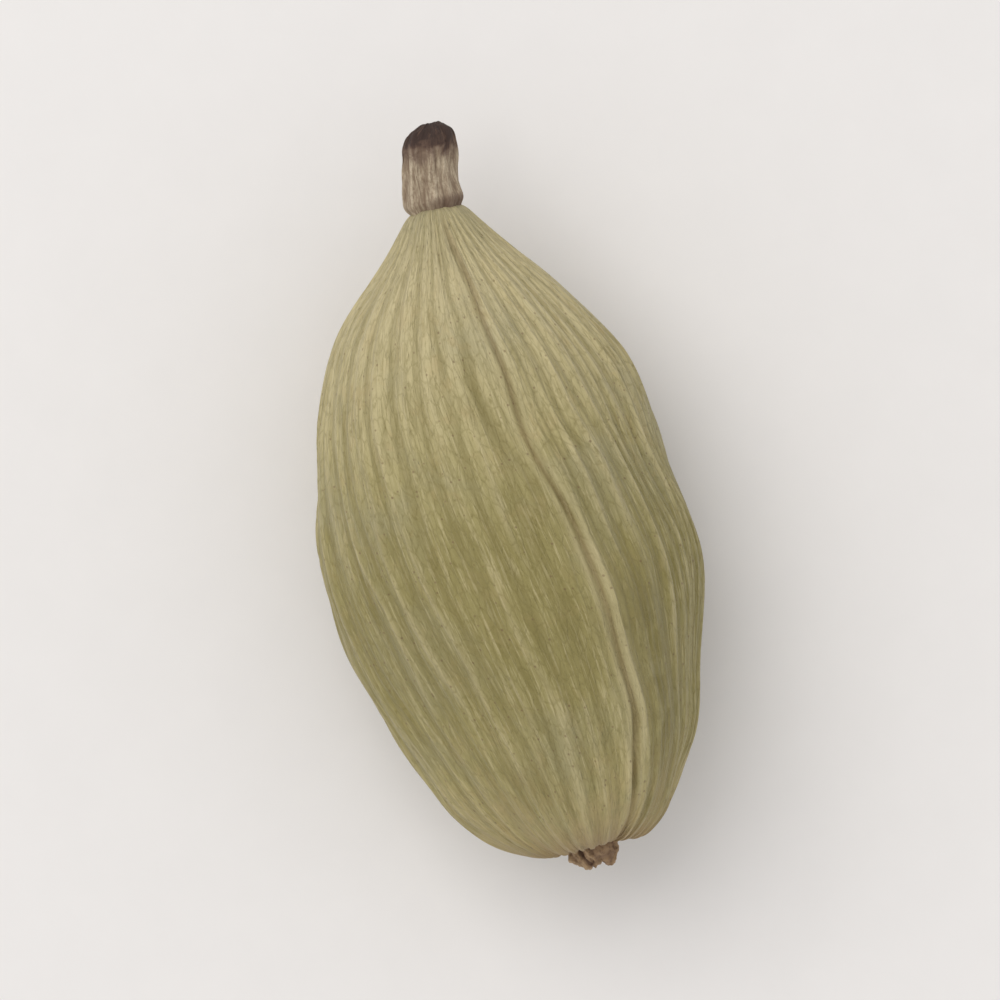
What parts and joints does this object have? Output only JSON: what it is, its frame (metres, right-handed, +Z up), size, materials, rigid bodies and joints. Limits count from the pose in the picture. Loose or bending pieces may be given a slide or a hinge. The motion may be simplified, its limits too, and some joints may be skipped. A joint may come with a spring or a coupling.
{
  "type": "green cardamom pod",
  "caption": "Dried green cardamom pod lying on its side: a ribbed, rounded triangular capsule with a narrow neck, a short stub of stalk and a withered flower remnant at its blunt tip.",
  "frame": {"origin": "on the resting surface, under the middle of the pod's box", "axes": "+X along the pod from its stalk to its tip, +Z up from the surface that it lies on"},
  "size_m": [0.013, 0.0062, 0.0058],
  "materials": {
    "capsule_wall": "matte, fibrous dried fruit wall",
    "dried_stalk": "rough, woody",
    "withered_flower": "rough, crumpled"
  },
  "bodies": {
    "root": {"capsule": "capsule_wall", "stalk_stub": "dried_stalk", "flower_remnant": "withered_flower"}
  },
  "joints": []
}
